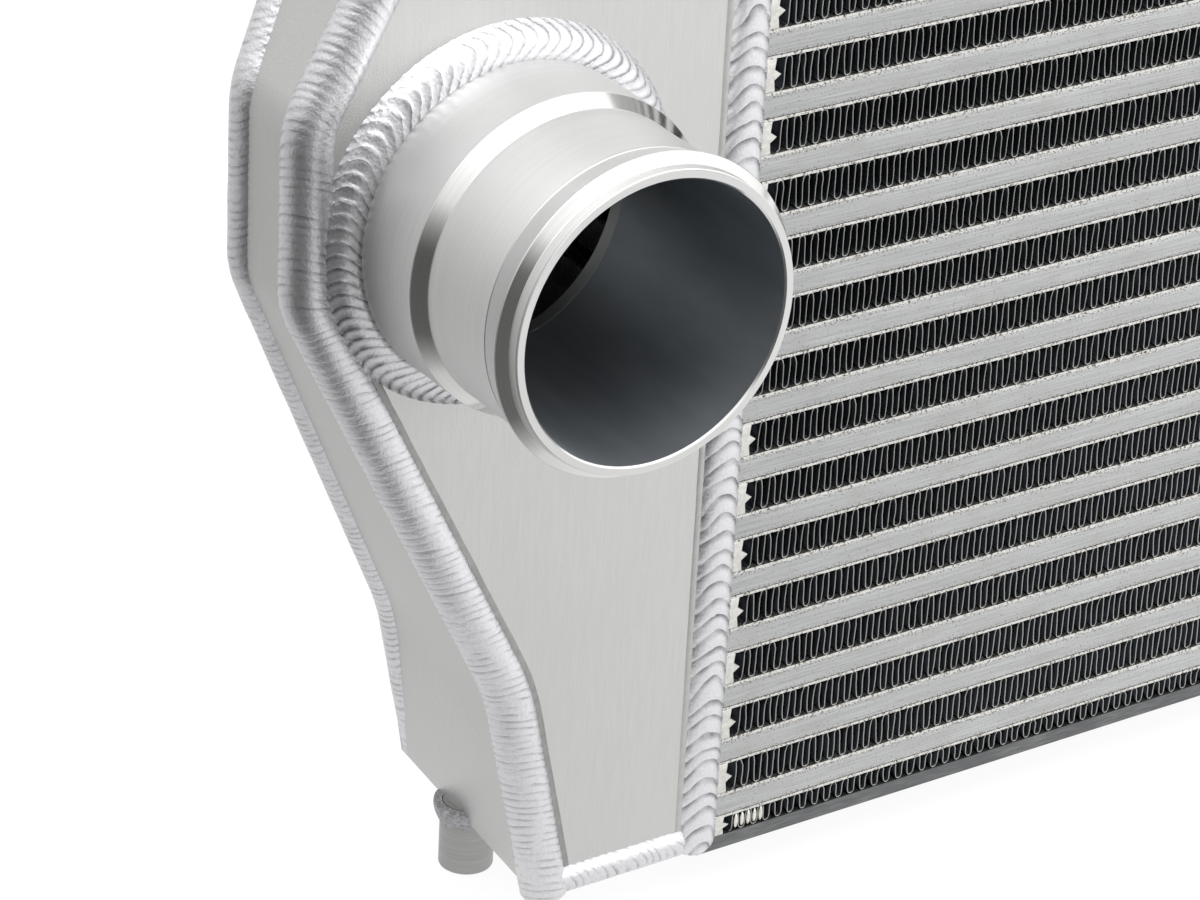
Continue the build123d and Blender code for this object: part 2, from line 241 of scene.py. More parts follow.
# One wave is drawn as points: their share of its length and their height, up one side and mirrored down
# the other. It is drawn out to the core's depth and repeated along the row, and the row up the stack
def folded_fins(node, rows, row_height):
    half = row_height / 2
    up = [(0.0, -half), (0.14, -half + 0.16 * mm), (0.215, -half + 0.75 * mm), (0.24, -half * 0.5),
          (0.25, 0.0), (0.26, half * 0.5), (0.285, half - 0.75 * mm), (0.36, half - 0.16 * mm), (0.5, half)]
    down = [(1 - share, z) for share, z in reversed(up[:-1])]
    fins = bmesh.new()
    fold = [fins.verts.new((share * fin_wave - fin_length / 2, fin_front, z)) for share, z in up + down]
    for start, end in zip(fold, fold[1:]):
        fins.edges.new((start, end))
    strip = bmesh.ops.extrude_edge_only(fins, edges=fins.edges[:])["geom"]
    bmesh.ops.translate(fins, verts=[v for v in strip if isinstance(v, bmesh.types.BMVert)],
                        vec=(0, fin_depth, 0))
    loop = fins.verts[:] + fins.edges[:] + fins.faces[:]
    for wave in range(1, fin_waves):
        copied = bmesh.ops.duplicate(fins, geom=loop)["geom"]
        bmesh.ops.translate(fins, verts=[v for v in copied if isinstance(v, bmesh.types.BMVert)],
                            vec=(wave * fin_wave, 0, 0))
    bmesh.ops.remove_doubles(fins, verts=fins.verts, dist=same_place)
    row = fins.verts[:] + fins.edges[:] + fins.faces[:]
    for z in rows[1:]:
        copied = bmesh.ops.duplicate(fins, geom=row)["geom"]
        bmesh.ops.translate(fins, verts=[v for v in copied if isinstance(v, bmesh.types.BMVert)],
                            vec=(0, 0, z - rows[0]))
    bmesh.ops.translate(fins, verts=fins.verts, vec=(0, 0, rows[0]))
    for v in fins.verts:
        row_mark = round(v.co.z / row_pitch) * 7.3
        bow = noise.noise(Vector((v.co.x * 260, row_mark, v.co.z * 190)))
        lean = noise.noise(Vector((v.co.x * 60, row_mark + 3, v.co.z * 60)))
        v.co.x += (bow * fin_bow + lean * fin_lean) * mm
    bmesh.ops.recalc_face_normals(fins, faces=fins.faces)
    piece = new_piece(node + "_folded", fins, [fin_sheet], [node], 60)
    gauge = piece.modifiers.new("sheet gauge", "SOLIDIFY")
    gauge.thickness = fin_gauge
    gauge.offset = 0.0


air_rows = [first_row + (k + 0.5) * row_pitch for k in range(air_row_count)]
folded_fins("air_fins_lower", air_rows[:7], fin_height)
folded_fins("air_fins_middle", air_rows[7:14], fin_height)
folded_fins("air_fins_upper", air_rows[14:], fin_height)
folded_fins("half_fins_bottom", [7.15 * mm], half_fin_height)
folded_fins("half_fins_top", [426.81 * mm], half_fin_height)

# Filled fins
# At the left end of the lowest row braze metal has run into five folds and closed them with pale leaves.
# Braze metal that has run and set is pale and grainy, in grains about 1 mm across
braze_fill, shader, place = new_metal("braze_filled_fold", 0.45)
fill_grain = add_node(braze_fill, "ShaderNodeTexNoise",
                      {"Vector": place, "Scale": 900.0, "Detail": 3.0}).outputs[0]
fill_tone = add_node(braze_fill, "ShaderNodeMix", {"Factor": fill_grain, 6: linear("#C9C7BD"),
                                                   7: linear("#FAF9F2")}, data_type="RGBA").outputs[2]
feed(shader, {"Base Color": fill_tone})
leaves = bmesh.new()
for fold in range(5):
    grown = bmesh.ops.create_icosphere(leaves, subdivisions=2, radius=1.0)["verts"]
    bmesh.ops.scale(leaves, vec=(0.78 * mm, 0.5 * mm, (2.4 - 0.15 * (fold % 2)) * mm), verts=grown)
    bmesh.ops.translate(leaves, vec=(-316.6 * mm + fold * fin_wave / 2, fin_front + 0.3 * mm, 7.1 * mm),
                        verts=grown)
new_piece("braze_filled_folds", leaves, [braze_fill], [])

# Turbulators
# Folded strips inside the closed charge rows, brazed to both sheets. They show only through the tanks.
# Clad sheet turns grey in the furnace, with a mottle about 3 mm across
turbulator_sheet, shader, place = new_metal("turbulator_sheet", 0.4)
turbulator_mottle = add_node(turbulator_sheet, "ShaderNodeTexNoise",
                             {"Vector": place, "Scale": 300.0}).outputs[0]
turbulator_tone = add_node(turbulator_sheet, "ShaderNodeMix",
                           {"Factor": turbulator_mottle, 6: linear("#7B8086"), 7: linear("#A4A8AC")},
                           data_type="RGBA").outputs[2]
feed(shader, {"Base Color": turbulator_tone})
finish_nodes(turbulator_sheet, "turbulators")

# Tank plates
# 4 mm rolled sheet, sawn to shape and left with its mill finish: pale, slightly warm, with a fine
# upright rolling grain and faint cloudy patches. The front plate has the hole under the spigot.
# Rolling grain 0.7 mm wide, clouds 35 mm across and a peel of 0.5 mm keep the plate from looking flat
mill_plate, shader, place = new_metal("mill_finish_plate", 0.45)
rolling_place = add_node(mill_plate, "ShaderNodeMapping",
                         {"Vector": place, "Scale": (1500, 1500, 90)}).outputs[0]
rolling = add_node(mill_plate, "ShaderNodeTexNoise",
                   {"Vector": rolling_place, "Scale": 1.0, "Detail": 3.0}).outputs[0]
cloud = add_node(mill_plate, "ShaderNodeTexNoise", {"Vector": place, "Scale": 28.0, "Detail": 3.0}).outputs[0]
rolling_tone = add_node(mill_plate, "ShaderNodeMix", {"Factor": rolling, 6: linear("#C6C6C5"),
                                                      7: linear("#DADAD9")}, data_type="RGBA").outputs[2]
mill_tone = add_node(mill_plate, "ShaderNodeMix", {"Factor": cloud, 6: rolling_tone, 7: linear("#CBCBCA")},
                     data_type="RGBA").outputs[2]
peel = add_node(mill_plate, "ShaderNodeTexNoise",
                {"Vector": place, "Scale": 1800.0, "Detail": 2.0}).outputs[0]
mill_bump = add_node(mill_plate, "ShaderNodeBump",
                     {"Height": peel, "Strength": 0.3, "Distance": 0.0002}).outputs[0]
feed(shader, {"Base Color": mill_tone, "Normal": mill_bump})
flat_plates = ("front_plate", "back_plate", "floor_plate", "roof_plate")
for side in ("left", "right"):
    finish_nodes(mill_plate, *[f"{side}_{plate}" for plate in flat_plates])

# End walls
# One strip of the same 4 mm sheet on each tank, bent round the foot, the knees and the nose. The bends
# are smooth, so the wall is a merged copy of its CAD form, shaded so that it turns evenly with height
# between the flats below and above each bend.
shortest_flat = 20 * mm
touch = 0.01 * mm
for side in ("left", "right"):
    wall = bmesh.new()
    wall.from_mesh(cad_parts[f"{side}_end_wall"].data)
    bmesh.ops.remove_doubles(wall, verts=wall.verts, dist=same_place)
    bmesh.ops.dissolve_limit(wall, angle_limit=math.radians(0.4), verts=wall.verts, edges=wall.edges)
    bent = new_piece(f"{side}_end_wall_bent", wall, [mill_plate], [f"{side}_end_wall"])
    strips = {1: [], -1: []}
    for face in bent.data.polygons:
        heights = [bent.data.vertices[v].co.z for v in face.vertices]
        if abs(face.normal.x) > 0.5 and max(heights) - min(heights) > shortest_flat:
            lean = math.atan2(face.normal.z, abs(face.normal.x))
            strips[1 if face.normal.x > 0 else -1].append((min(heights), max(heights), lean))
    for flats in strips.values():
        flats.sort()
    shading = []
    for face in bent.data.polygons:
        facing = 1 if face.normal.x > 0 else -1
        for v in face.vertices:
            if abs(face.normal.x) < 0.5:
                shading.append(face.normal.copy())
                continue
            z = bent.data.vertices[v].co.z
            below = [flat for flat in strips[facing] if flat[0] <= z + touch]
            above = [flat for flat in strips[facing] if flat[1] >= z - touch]
            low = max(below, key=lambda flat: flat[1]) if below else min(above)
            high = min(above, key=lambda flat: flat[0]) if above else low
            gap = high[0] - low[1]
            turned = max(0.0, min(1.0, (z - low[1]) / gap)) if gap > touch else 0.0
            lean = low[2] + (high[2] - low[2]) * turned
            shading.append(Vector((facing * math.cos(lean), 0, math.sin(lean))))
    bent.data.normals_split_custom_set(shading)

# Weld beads round the end walls
# Hand laid aluminium beads run up the seams of both tanks, in fine overlapping ripples about 2.4 mm apart.
# The metal is whiter than the sheet, with thin dark lines of painted shade where one ripple lies on the last.
core_end = -330.0 * mm
front = -44.45 * mm
core_height = 433.96 * mm


# Aluminium filler wire, melted by the arc: frosted white, with a dark crease of painted shade along the
# lower half of each ripple that comes and goes in patches 6 mm across. The frost is about 0.8 mm across
def weld_finish(name, crease_shade_colour, least, most):
    material, shader, place = new_metal(name, 0.4)
    ripple_map = add_node(material, "ShaderNodeUVMap", {}, uv_map="ripple").outputs[0]
    along = add_node(material, "ShaderNodeSeparateXYZ", {"Vector": ripple_map}).outputs["X"]
    ripple = add_node(material, "ShaderNodeMath", {0: along}, operation="FRACT").outputs[0]
    # Painted shade: a dark crease over the lower half of each ripple
    painted_crease_shade = add_node(material, "ShaderNodeMapRange", {"Value": ripple, "From Min": 0.5, "From Max": 1.0},
                      interpolation_type="SMOOTHSTEP").outputs[0]
    patch = add_node(material, "ShaderNodeTexNoise",
                     {"Vector": place, "Scale": 170.0, "Detail": 4.0}).outputs[0]
    frost = add_node(material, "ShaderNodeTexNoise",
                     {"Vector": place, "Scale": 1300.0, "Detail": 4.0}).outputs[0]
    strength = add_node(material, "ShaderNodeMapRange", {"Value": patch, "From Min": 0.38, "From Max": 0.62,
                                                         "To Min": least, "To Max": most}).outputs[0]
    share = add_node(material, "ShaderNodeMath", {0: painted_crease_shade, 1: strength}, operation="MULTIPLY").outputs[0]
    frosted = add_node(material, "ShaderNodeMix", {"Factor": frost, 6: linear("#CFCFD2"),
                                                   7: linear("#F1F1F3")}, data_type="RGBA").outputs[2]
    tone = add_node(material, "ShaderNodeMix", {"Factor": share, 6: frosted, 7: linear(crease_shade_colour)},
                    data_type="RGBA").outputs[2]
    bump = add_node(material, "ShaderNodeBump",
                    {"Height": frost, "Strength": 0.4, "Distance": 0.0003}).outputs[0]
    feed(shader, {"Base Color": tone, "Normal": bump})
    return material


# The crease colours are painted shade, stronger on the rippled beads and fainter on the washed out ones
weld_metal = weld_finish("rippled_weld_metal", "#77777C", 0.35, 0.9)
smooth_weld = weld_finish("washed_out_weld_metal", "#98989E", 0.0, 0.7)


def rounded_route(corners, radii):
    route = [corners[0]]
    for before, corner, after, radius in zip(corners, corners[1:], corners[2:], radii):
        into, away = (corner - before).normalized(), (after - corner).normalized()
        turn = into.angle(away)
        inward = (away - into * math.cos(turn)).normalized()
        start = corner - into * radius * math.tan(turn / 2)
        for step in range(13):
            angle = turn * step / 12
            route.append(start + into * radius * math.sin(angle) + inward * radius * (1 - math.cos(angle)))
    return route + [corners[-1]]


def stations_along(route, spacing):
    lengths = [0.0]
    for start, end in zip(route, route[1:]):
        lengths.append(lengths[-1] + (end - start).length)
    count = max(2, round(lengths[-1] / spacing))
    places, run = [], 0
    for k in range(count + 1):
        wanted = lengths[-1] * k / count
        while run < len(route) - 2 and lengths[run + 1] < wanted:
            run += 1
        share = (wanted - lengths[run]) / (lengths[run + 1] - lengths[run])
        places.append(route[run].lerp(route[run + 1], share))
    return places


def to_front(point):
    return Vector((0, -1, 0))


def to_back(point):
    return Vector((0, 1, 0))


def ripple_phase(distance, share, pitch, bow, seed, closed):
    phase = distance / pitch + bow * (1 - (2 * share - 1) ** 2)
    if closed:
        return phase
    wander = noise.noise(Vector((distance * 90, seed, 0)))
    waver = noise.noise(Vector((distance / pitch * 0.6, share * 2, seed)))
    return phase + 0.5 * wander + 0.3 * waver


# A bead follows its places, with its section standing on the side that faces the welder. Each ripple falls
# away from its start to its end and steps up to the next, and bow is how many ripples its middle runs ahead
def lay_bead(name, places, facing, hand, section, pitch, rise, bow, nodes, rounded=0.0, closed=False,
             seed=0.0, metal=weld_metal, lipped=False):
    columns = len(section)
    bead = bmesh.new()
    ripple_map = bead.loops.layers.uv.new("ripple")
    bmesh.ops.create_grid(bead, x_segments=len(places) - 1, y_segments=columns, size=1.0)
    step = (places[1] - places[0]).length
    total = step * (len(places) - 1)
    marks = {}
    for v in bead.verts:
        along = round((v.co.x + 1) / 2 * (len(places) - 1))
        marks[v] = (along, round((v.co.y + 1) / 2 * columns))
    for v, (along, across) in marks.items():
        here = places[along]
        if closed:
            tangent = places[(along + 1) % (len(places) - 1)] - places[(along - 1) % (len(places) - 1)]
        else:
            tangent = places[min(along + 1, len(places) - 1)] - places[max(along - 1, 0)]
        tangent.normalize()
        side = facing(here)
        side = (side - tangent * side.dot(tangent)).normalized()
        out = side.cross(tangent) * hand
        reach_out, reach_side, share, weight = section[across % columns]
        distance = along * step
        phase = ripple_phase(distance, share, pitch, bow, seed, closed)
        fall = phase % 1.0
        lift = rise * (math.sqrt(max(0.0, 1 - fall * fall)) - 1) * weight
        if lipped:
            lift = rise * ((1 - fall) ** 2 - 1) * weight
        # An open bead swells and thins a little along its way, and each ripple has its own height
        swell = 0.985 + 0.015 * noise.noise(Vector((distance * 110, seed + 5, share)))
        if closed:
            swell = 1.0
        lift *= 0.8 + 0.4 * noise.noise(Vector((math.floor(phase) * 1.7, seed, 0.5)))
        shrink = 1.0
        if rounded:
            end_gap = min(distance, total - distance)
            if end_gap < rounded:
                shrink = math.sqrt(max(0.0, 1 - (1 - end_gap / rounded) ** 2))
        arm = Vector((reach_out * (1 - 0.05 * fall * weight), reach_side))
        arm = arm * swell * shrink + arm.normalized() * lift * shrink
        v.co = here + out * arm.x + side * arm.y
    for face in bead.faces:
        for corner in face.loops:
            along, across = marks[corner.vert]
            share = section[across % columns][2]
            distance = along * step
            phase = ripple_phase(distance, share, pitch, bow, seed, closed)
            # The map holds the ripple count, which places the painted crease shade. A lipped bead counts back
            corner[ripple_map].uv = (600 - phase if lipped else phase + 20, share)
    bmesh.ops.remove_doubles(bead, verts=bead.verts, dist=same_place)
    bmesh.ops.recalc_face_normals(bead, faces=bead.faces)
    return new_piece(name, bead, [metal], nodes, 75)


# A bead's section is a closed loop of points: how far out and how far sideways each lies, its share of the
# way across, and how strongly the ripples work on it. The hidden points lie inside the plates
def round_section(radius, start, end, points, calm, hidden):
    section = []
    for k in range(points):
        share = k / (points - 1)
        angle = math.radians(start + (end - start) * share)
        weight = 1 - calm * (1 - abs(2 * share - 1))
        section.append((radius * math.cos(angle), radius * math.sin(angle), share, weight))
    return section + [(x * mm, y * mm, 0.5, 0.0) for x, y in hidden]


# The right hand tank is the mirror of the left one, and the roof that of the floor
def twin(piece, nodes):
    other = bmesh.new()
    other.from_mesh(piece.data)
    bmesh.ops.scale(other, vec=(-1, 1, 1), verts=other.verts)
    bmesh.ops.reverse_faces(other, faces=other.faces)
    return new_piece(piece.name.replace("left", "right"), other, piece.data.materials, nodes, 75)


def upturned(piece, name, nodes):
    other = bmesh.new()
    other.from_mesh(piece.data)
    bmesh.ops.scale(other, vec=(1, 1, -1), verts=other.verts)
    bmesh.ops.translate(other, vec=(0, 0, core_height), verts=other.verts)
    bmesh.ops.reverse_faces(other, faces=other.faces)
    return new_piece(name, other, piece.data.materials, nodes, 75)


seam_inset = 4.7 * mm
ripple_length = 2.45 * mm
slope_normal = Vector((-0.4223, 0.9065, 0))
seam_outline = [(-377.1, -0.5), (-392.5, 70.0), (-457.3, 198.4), (-457.3, 245.4), (-392.5, 363.96),
                (-377.1, 434.46)]
seam_corners = [Vector((x * mm, front + seam_inset, z * mm)) for x, z in seam_outline]
seam_radii = [75.3 * mm, 20.3 * mm, 20.3 * mm, 75.3 * mm]
front_seam = rounded_route(seam_corners, seam_radii)
front_section = round_section(7 * mm, -54, 144, 15, 0.65, [(-4.5, 1.5), (1.5, 1.5), (1.5, -4.5)])
bead = lay_bead("left_front_end_bead", stations_along(front_seam, 0.55 * mm), to_front, 1, front_section,
                ripple_length, 0.15 * mm, -2.0, ["left_front_end_weld"], rounded=2.5 * mm,
                metal=smooth_weld)
twin(bead, ["right_front_end_weld"])


# Heat marks beside the beads
# The arc leaves a dull grey band about 1.5 mm wide on the front plate along the lower end seam, and a paler
# one beside the joint weld. Each is a skin about 0.1 mm proud of the plate.
def heat_band(name, near, far):
    material, shader, place = new_metal(name, 0.55)
    haze = add_node(material, "ShaderNodeTexNoise",
                    {"Vector": place, "Scale": 500.0, "Detail": 4.0}).outputs[0]
    haze_tone = add_node(material, "ShaderNodeMix", {"Factor": haze, 6: linear(near), 7: linear(far)},
                         data_type="RGBA").outputs[2]
    feed(shader, {"Base Color": haze_tone})
    return material


# Sheet hazed by the arc is matt, in flecks 2 mm across: dull grey by the end seam, paler by the joint weld
dark_band = heat_band("dull_heat_band", "#8E8E8D", "#B2B2B0")
pale_band = heat_band("pale_heat_band", "#BABAB7", "#D2D2D0")
band_section = [(x * mm, y * mm, 0.5, 0.0) for x, y in ((-4.8, 4.4), (-4.8, 4.85), (-6.5, 4.82), (-6.8, 4.4))]
band = lay_bead("left_front_end_band", stations_along(front_seam, 2.0 * mm)[4:102], to_front, 1,
                band_section, 5 * mm, 0.0, 0.0, [], seed=31.0, metal=dark_band)
twin(band, [])

# The back plate's outer face lies 184.72 mm from the origin, measured square to its slope
slope_distance = 184.72 * mm
slope_foot = 10.2 * mm


def on_slope(point):
    depth = (slope_distance - seam_inset - slope_normal.x * point.x) / slope_normal.y
    return Vector((point.x, depth, point.z))


back_corners = [Vector(corner) for corner in seam_corners]
back_corners[0].z = slope_foot
back_corners[-1].z = core_height - slope_foot
back_seam = [on_slope(point) for point in rounded_route(back_corners, seam_radii)]
back_section = round_section(7 * mm, -30, 144, 13, 0.65, [(-4.5, 1.5), (0.96, 1.5), (3.0, -3.0)])
bead = lay_bead("left_back_end_bead", stations_along(back_seam, 0.6 * mm), lambda p: slope_normal, -1,
                back_section, ripple_length, 0.2 * mm, 1.5, ["left_back_end_weld"], rounded=7 * mm,
                seed=11.0, metal=smooth_weld)
twin(bead, ["right_back_end_weld"])

# Joint welds between core and tank
# Broad flat beads tie the tank to the core's bars, up the front and the back, in scales about 5 mm apart
# that arch upwards. Short round beads close the joint below and above.
joint_width = 13.3
joint_rise = 2.9
joint_sunk = 0.4
joint_scale = 5.2 * mm
joint_section = []
for k in range(15):
    share = k / 14
    joint_section.append(((share - 0.5) * joint_width * mm,
                          (joint_rise * (1 - (2 * share - 1) ** 2) ** 0.75 - joint_sunk) * mm,
                          share, 1.0))
joint_section += [(x * mm, y * mm, 0.5, 0.0) for x, y in ((4.5, -1.5), (-4.5, -1.5))]
joint_route = [Vector((core_end, front, 0.3 * mm)), Vector((core_end, front, core_height - 0.3 * mm))]
bead = lay_bead("left_joint_bead_front", stations_along(joint_route, 0.8 * mm), to_front, -1, joint_section,
                joint_scale, 0.5 * mm, -1.1, ["left_joint_weld_front"], rounded=5 * mm, seed=3.0)
twin(bead, ["right_joint_weld_front"])
band_section = [(x * mm, y * mm, 0.5, 0.0) for x, y in ((6.0, -0.5), (6.0, 0.12), (7.9, 0.1), (8.1, -0.5))]
band_route = [Vector((core_end, front, 6 * mm)), Vector((core_end, front, core_height - 6 * mm))]
band = lay_bead("left_joint_band", stations_along(band_route, 3.0 * mm), to_front, 1,
                band_section, 5 * mm, 0.0, 0.0, [], seed=37.0, metal=pale_band)
twin(band, [])
joint_back_route = [Vector((core_end, -front, 0.3 * mm)), Vector((core_end, -front, core_height - 0.3 * mm))]
bead = lay_bead("left_joint_bead_back", stations_along(joint_back_route, 1.0 * mm), to_back, 1,
                joint_section, joint_scale, 0.5 * mm, -1.1, ["left_joint_weld_back"], rounded=5 * mm,
                seed=7.0)
twin(bead, ["right_joint_weld_back"])
under_route = [Vector((core_end - 1 * mm, front + 1 * mm, 4.5 * mm)),
               Vector((core_end - 1 * mm, -front - 1 * mm, 4.5 * mm))]
under_section = round_section(4.4 * mm, 40, 165, 9, 0.0, [(-2.5, -1.5), (2.5, -1.5)])
bead = lay_bead("left_joint_bead_floor", stations_along(under_route, 0.8 * mm),
                lambda p: Vector((0, 0, -1)), 1, under_section, 4.0 * mm, 0.4 * mm, 0.8,
                ["left_joint_weld_floor"], rounded=3 * mm, seed=13.0)
twin(bead, ["right_joint_weld_floor"])
top = upturned(bead, "left_joint_bead_roof", ["left_joint_weld_roof"])
twin(top, ["right_joint_weld_roof"])

# Floor and roof seams
# Short beads join the floor and roof plates to the front and back plates between the corner beads.
floor_ripple = 2.8 * mm
floor_route = [Vector((-333 * mm, front + 4 * mm, 6 * mm)), Vector((-379 * mm, front + 4 * mm, 6 * mm))]
floor_section = round_section(6 * mm, -50, 140, 11, 0.5, [(-3.5, 1.2), (1.2, 1.2), (1.2, -3.5)])
bead = lay_bead("left_floor_bead_front", stations_along(floor_route, 0.6 * mm), to_front, 1, floor_section,
                floor_ripple, 0.09 * mm, 2.4, ["left_floor_weld_front"], rounded=3 * mm, seed=17.0,
                metal=smooth_weld)
twin(bead, ["right_floor_weld_front"])
top = upturned(bead, "left_roof_bead_front", ["left_roof_weld_front"])
twin(top, ["right_roof_weld_front"])
rear_route = rounded_route([Vector((-335 * mm, 40.45 * mm, 7.3 * mm)),
                            Vector((-342.5 * mm, 40.2 * mm, 9.3 * mm)),
                            Vector((-374 * mm, 25.5 * mm, 15.6 * mm))], [6 * mm])
bead = lay_bead("left_floor_bead_back", stations_along(rear_route, 0.7 * mm),
                lambda p: Vector((0, 1, 0)) if p.x > -341 * mm else slope_normal, -1, floor_section,
                floor_ripple, 0.09 * mm, 2.4, ["left_floor_weld_back"], rounded=3 * mm, seed=19.0,
                metal=smooth_weld)
twin(bead, ["right_floor_weld_back"])
top = upturned(bead, "left_roof_bead_back", ["left_roof_weld_back"])
twin(top, ["right_roof_weld_back"])

# Hose spigots
# Turned from thick tube on a lathe: a base cylinder, a polished bevel down to the barrel, a raised bead
# that keeps the hose on, a second polished bevel and a flat faced lip. The bore is drawn darker and bluer.
spigot_x = core_end - 74.3 * mm
spigot_z = 213.0 * mm

# Tool marks 0.5 mm apart run round the spigot and draw its highlights out along it
turned_metal, shader, place = new_metal("turned_spigot", 0.42)
lathe_place = add_node(turned_metal, "ShaderNodeMapping",
                       {"Vector": place, "Scale": (25, 1800, 25)}).outputs[0]
lathe = add_node(turned_metal, "ShaderNodeTexNoise",
                 {"Vector": lathe_place, "Scale": 1.0, "Detail": 3.0}).outputs[0]
lathe_tone = add_node(turned_metal, "ShaderNodeMix", {"Factor": lathe, 6: linear("#D2D2D1"),
                                                      7: linear("#E2E2E1")}, data_type="RGBA").outputs[2]
lathe_bump = add_node(turned_metal, "ShaderNodeBump",
                      {"Height": lathe, "Strength": 0.15, "Distance": 0.0002}).outputs[0]
feed(shader, {"Base Color": lathe_tone, "Normal": lathe_bump})

# The bevels are cut with a fine feed and stay mirror bright, with faint lines 0.4 mm apart
polished_bevel, shader, place = new_metal("polished_bevel", 0.12)
polish_place = add_node(polished_bevel, "ShaderNodeMapping",
                        {"Vector": place, "Scale": (20, 2500, 20)}).outputs[0]
polish = add_node(polished_bevel, "ShaderNodeTexNoise", {"Vector": polish_place, "Scale": 1.0}).outputs[0]
polish_tone = add_node(polished_bevel, "ShaderNodeMix", {"Factor": polish, 6: linear("#D6D6D4"),
                                                         7: linear("#E6E6E4")}, data_type="RGBA").outputs[2]
feed(shader, {"Base Color": polish_tone})

# The bore is darker and bluer than the outside and half matt, in streaks about 40 mm long
blue_grey_bore, shader, place = new_metal("blue_grey_bore", 0.5)
bore_streak_place = add_node(blue_grey_bore, "ShaderNodeMapping", {"Vector": place, "Scale": (90, 25, 90)}).outputs[0]
bore_streak = add_node(blue_grey_bore, "ShaderNodeTexNoise",
               {"Vector": bore_streak_place, "Scale": 1.0, "Detail": 3.0}).outputs[0]
bore_streak_tone = add_node(blue_grey_bore, "ShaderNodeMix", {"Factor": bore_streak, 6: linear("#A2A8AE"), 7: linear("#D0D5D9")},
                    data_type="RGBA").outputs[2]
feed(shader, {"Base Color": bore_streak_tone})

spigot_profile = [(37.3, 0.0), (43.3, 0.0), (43.3, 28.5), (43.15, 28.8), (40.45, 32.2), (40.3, 32.5),
                  (40.3, 57.8), (40.12, 58.0), (40.3, 58.2), (42.35, 65.4), (42.6, 66.0), (42.45, 66.3),
                  (40.05, 68.2), (39.9, 68.5), (39.9, 71.0), (39.65, 71.15), (39.6, 71.6), (37.75, 71.6),
                  (37.3, 71.15), (37.3, 36.0)]


def turned_piece(name, profile, centre, axis, materials, zone, nodes, steps=180):
    turned = bmesh.new()
    rim = [turned.verts.new(centre + Vector(point)) for point in profile]
    for start, end in zip(rim, rim[1:] + rim[:1]):
        turned.edges.new((start, end))
    bmesh.ops.spin(turned, geom=turned.verts[:] + turned.edges[:], cent=centre, axis=axis, angle=2 * math.pi,
                   steps=steps, use_merge=True, use_duplicate=False)
    bmesh.ops.remove_doubles(turned, verts=turned.verts, dist=same_place)
    bmesh.ops.recalc_face_normals(turned, faces=turned.faces)
    for face in turned.faces:
        face.material_index = zone(face.calc_center_median() - centre)
    return new_piece(name, turned, materials, nodes, 22)


def spigot_zone(place):
    reach = math.hypot(place.x, place.z) / mm
    if reach < 37.6 and place.y > -71 * mm:
        return 2
    mouth_bevel = -68.3 * mm < place.y < -66.2 * mm
    base_bevel = -32.3 * mm < place.y < -28.8 * mm
    bore_edge = place.y > -71.6 * mm and reach < 37.7
    if mouth_bevel or base_bevel or bore_edge:
        return 1
    return 0


spigot = turned_piece("left_spigot_turned", [(r * mm, -y * mm, 0) for r, y in spigot_profile],
                      Vector((spigot_x, front, spigot_z)), (0, 1, 0),
                      [turned_metal, polished_bevel, blue_grey_bore], spigot_zone, ["left_spigot"])
twin(spigot, ["right_spigot"])

# Ring welds round the spigots
# One bead, laid in 3.5 mm ripples, runs right round the base of each spigot and ties it to the front plate.
ring_reach = 48.0 * mm
ring_ripples = 86
ring_steps = 540
ring_bulge = 2.1
ring_places = []
for k in range(ring_steps + 1):
    angle = 2 * math.pi * k / ring_steps
    ring_places.append(Vector((spigot_x + ring_reach * math.cos(angle), front,
                               spigot_z + ring_reach * math.sin(angle))))
# The section climbs from the toe on the plate to the spigot wall, bulging square to that line
ring_section = []
for k in range(13):
    share = k / 12
    bulge = ring_bulge * math.sin(math.pi * share)
    worked = min(1.0, 12 * share, 12 * (1 - share))
    ring_section.append(((4.3 - 9.0 * share + 0.555 * bulge) * mm,
                         (-0.3 + 6.3 * share + 0.832 * bulge) * mm, share, worked))
ring_section += [(-5.5 * mm, 5.0 * mm, 0.5, 0.0), (-5.5 * mm, -1.5 * mm, 0.5, 0.0),
                 (3 * mm, -1.5 * mm, 0.5, 0.0)]
ring_pitch = 2 * math.pi * ring_reach / ring_ripples
bead = lay_bead("left_spigot_bead", ring_places, to_front, -1, ring_section, ring_pitch, 0.5 * mm,
                1.3, ["left_spigot_weld"], closed=True, seed=23.0, lipped=True)
twin(bead, ["right_spigot_weld"])

# Locating pins
# A turned 15.5 mm pin stands below each tank, half under the end wall, in a rough dark collar of weld.
pin_centre = Vector((-379.5 * mm, -2.45 * mm, 0))
pin_profile = [(0.0, -10.0), (7.0, -10.0), (7.6, -9.6), (7.75, -9.2), (7.75, 5.2), (7.0, 5.2), (7.0, 10.8),
               (0.0, 10.8)]
# Bar stock with tool marks 0.5 mm apart, handled and duller than the spigot
dull_pin, shader, place = new_metal("dull_turned_pin", 0.4)
ring_place = add_node(dull_pin, "ShaderNodeMapping", {"Vector": place, "Scale": (60, 60, 1800)}).outputs[0]
tool_mark = add_node(dull_pin, "ShaderNodeTexNoise",
                     {"Vector": ring_place, "Scale": 1.0, "Detail": 3.0}).outputs[0]
pin_tone = add_node(dull_pin, "ShaderNodeMix", {"Factor": tool_mark, 6: linear("#959594"),
                                                7: linear("#B2B2B1")}, data_type="RGBA").outputs[2]
feed(shader, {"Base Color": pin_tone})
pin = turned_piece("left_pin_turned", [(r * mm, 0, z * mm) for r, z in pin_profile], pin_centre, (0, 0, 1),
                   [dull_pin], lambda place: 0, ["left_lower_pin"], 72)
twin(pin, ["right_lower_pin"])

